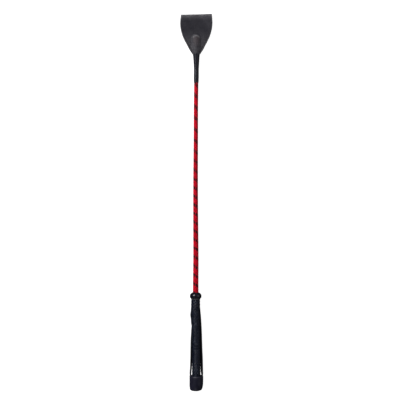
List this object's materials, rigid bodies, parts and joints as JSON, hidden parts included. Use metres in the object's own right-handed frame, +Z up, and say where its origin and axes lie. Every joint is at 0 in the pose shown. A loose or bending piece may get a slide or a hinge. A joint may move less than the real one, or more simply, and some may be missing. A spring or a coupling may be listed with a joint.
{
  "type": "riding crop",
  "caption": "Slim riding crop with a doubled leather keeper, a tapered braided stem, a plaited grip, a collar ring, a wrist strap loop and a wide end cap.",
  "frame": {"origin": "centre of the bottom of the bounding box, on the surface that the crop lies on", "axes": "+Y along the crop from butt to keeper, +X across the keeper, +Z up from the surface; the stem's axis falls 0.46 degrees towards the keeper"},
  "size_m": [0.0546, 0.65, 0.0233],
  "materials": {
    "fibreglass": "satin drawn rod",
    "black_plastic": "moulded cap",
    "braid_thread": "tight shiny red braid with a black tracer",
    "binding_thread": "waxed thread",
    "sleeve_gloss": "glossy shrunk sleeve",
    "keeper_leather": "soft matte grained leather, worn paler at the fold",
    "stitch_thread": "waxed thread",
    "core_wood": "turned, hidden",
    "grip_leather": "plaited, slightly glossy",
    "collar_gloss": "glossy moulded ring",
    "cap_leather": "grained, satin",
    "strap_leather": "smooth strap leather",
    "tack_steel": "blackened"
  },
  "bodies": {
    "crop": {"core_rod": "fibreglass", "rod_tip_cap": "black_plastic", "braid_cover": "braid_thread", "upper_braid_binding": "binding_thread", "lower_braid_binding": "binding_thread", "tip_sleeve": "sleeve_gloss", "keeper_base": "keeper_leather", "keeper_stitching": "stitch_thread", "keeper_whipping": "binding_thread", "handle_core": "core_wood", "grip_cover": "grip_leather", "collar_ring": "collar_gloss", "end_cap": "cap_leather", "butt_plug": "core_wood", "cap_tacks": "tack_steel", "strap_tails": "strap_leather", "strap_tacks": "tack_steel"},
    "flap": {"keeper_flap": "keeper_leather"},
    "wrist_loop": {"strap_loop": "strap_leather"}
  },
  "joints": [
    {"name": "keeper_bend", "type": "hinge", "parent": "crop", "child": "flap", "pos_m": [0, 0.29101, 0.00688], "axis": [1, 0, 0], "range_deg": [-60, 60], "stiffness_Nm_per_rad": 0.6},
    {"name": "loop_swing", "type": "hinge", "parent": "crop", "child": "wrist_loop", "pos_m": [0, -0.29097, 0.01153], "axis": [-1, 0, 0], "range_deg": [0, 100]}
  ]
}
